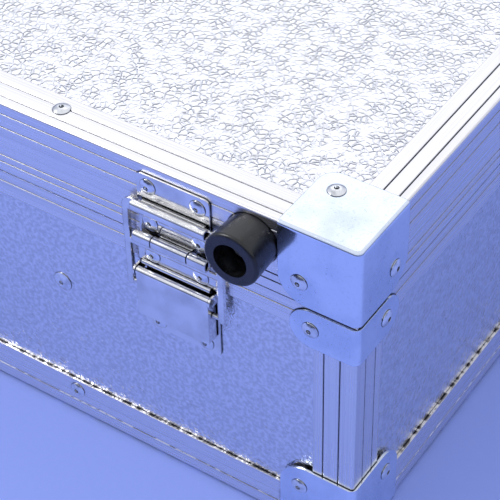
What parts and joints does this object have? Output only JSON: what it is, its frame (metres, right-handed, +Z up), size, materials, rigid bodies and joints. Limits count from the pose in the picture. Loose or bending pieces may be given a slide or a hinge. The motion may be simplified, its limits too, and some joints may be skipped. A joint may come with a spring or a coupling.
{
  "type": "hammer case",
  "caption": "Aluminium-edged transport case for a power hammer: hinged lid, draw latches, rubber buffers on the lid, riveted corner brackets, folding handle, foam bed and divider.",
  "frame": {"origin": "middle of the overall box's underside", "axes": "+X to the case's right, +Y to its back (hinge side), +Z up"},
  "size_m": [0.6334, 0.3563, 0.1869],
  "materials": {
    "board": "plywood board faced with embossed bright aluminium sheet",
    "plain_board": "bare plywood strips",
    "rail": "satin anodised extrusion",
    "zinc_steel": "zinc plated sheet steel",
    "latch_steel": "bright nickel plated sheet steel",
    "pin_steel": "plain steel",
    "rivet": "bright blind rivets",
    "rubber": "smooth black rubber",
    "foam": "dark grey packing foam"
  },
  "bodies": {
    "base": {"floor_panel": "board", "front_panel": "board", "back_panel": "board", "left_panel": "board", "right_panel": "board", "rim_rail_front": "rail", "rim_rail_back": "rail", "rim_rail_left": "rail", "rim_rail_right": "rail", "bottom_rail_front": "rail", "bottom_rail_back": "rail", "bottom_rail_left": "rail", "bottom_rail_right": "rail", "post_front_left": "rail", "post_front_right": "rail", "post_back_left": "rail", "post_back_right": "rail", "divider": "rail", "bottom_corner_front_left": "zinc_steel", "bottom_corner_front_right": "zinc_steel", "bottom_corner_back_left": "zinc_steel", "bottom_corner_back_right": "zinc_steel", "corner_strap_front_left": "zinc_steel", "corner_strap_front_right": "zinc_steel", "corner_strap_back_left": "zinc_steel", "corner_strap_back_right": "zinc_steel", "latch_keeper_plate_left": "latch_steel", "latch_keeper_plate_right": "latch_steel", "hinge_base_leaf_left": "latch_steel", "hinge_base_leaf_right": "latch_steel", "handle_plate": "latch_steel", "latch_pins": "pin_steel", "hinge_pins": "pin_steel", "base_rivets": "rivet", "foam_bed": "foam"},
    "lid": {"lid_panel": "board", "lid_frame": "plain_board", "lid_rail_front": "rail", "lid_rail_back": "rail", "lid_rail_left": "rail", "lid_rail_right": "rail", "lid_corner_front_left": "zinc_steel", "lid_corner_front_right": "zinc_steel", "lid_corner_back_left": "zinc_steel", "lid_corner_back_right": "zinc_steel", "lid_rivets": "rivet", "lid_foam": "foam", "rubber_buffer_left": "rubber", "rubber_buffer_right": "rubber", "buffer_screws": "pin_steel", "latch_catch_plate_left": "latch_steel", "latch_catch_plate_right": "latch_steel", "hinge_lid_leaf_left": "latch_steel", "hinge_lid_leaf_right": "latch_steel"},
    "left_lever": {"latch_lever_left": "latch_steel"},
    "left_bail": {"latch_bail_left": "latch_steel"},
    "right_lever": {"latch_lever_right": "latch_steel"},
    "right_bail": {"latch_bail_right": "latch_steel"},
    "handle": {"handle_loop": "latch_steel", "handle_grip": "rubber"}
  },
  "joints": [
    {"name": "lid_hinge", "type": "hinge", "parent": "base", "child": "lid", "pos_m": [0, 0.1716, 0.144], "axis": [-1, 0, 0], "range_deg": [0, 100]},
    {"name": "left_lever_pivot", "type": "hinge", "parent": "base", "child": "left_lever", "pos_m": [-0.224, -0.1657, 0.1255], "axis": [-1, 0, 0], "range_deg": [0, 140]},
    {"name": "left_bail_pivot", "type": "hinge", "parent": "left_lever", "child": "left_bail", "pos_m": [-0.224, -0.164, 0.1163], "axis": [-1, 0, 0], "range_deg": [-140, 0]},
    {"name": "right_lever_pivot", "type": "hinge", "parent": "base", "child": "right_lever", "pos_m": [0.224, -0.1657, 0.1255], "axis": [-1, 0, 0], "range_deg": [0, 140]},
    {"name": "right_bail_pivot", "type": "hinge", "parent": "right_lever", "child": "right_bail", "pos_m": [0.224, -0.164, 0.1163], "axis": [-1, 0, 0], "range_deg": [-140, 0]},
    {"name": "handle_pivot", "type": "hinge", "parent": "base", "child": "handle", "pos_m": [0, -0.1694, 0.0918], "axis": [-1, 0, 0], "range_deg": [0, 175]}
  ],
  "couplings": [
    {"joint": "left_bail_pivot", "follows": "left_lever_pivot", "ratio": -1},
    {"joint": "right_bail_pivot", "follows": "right_lever_pivot", "ratio": -1}
  ]
}
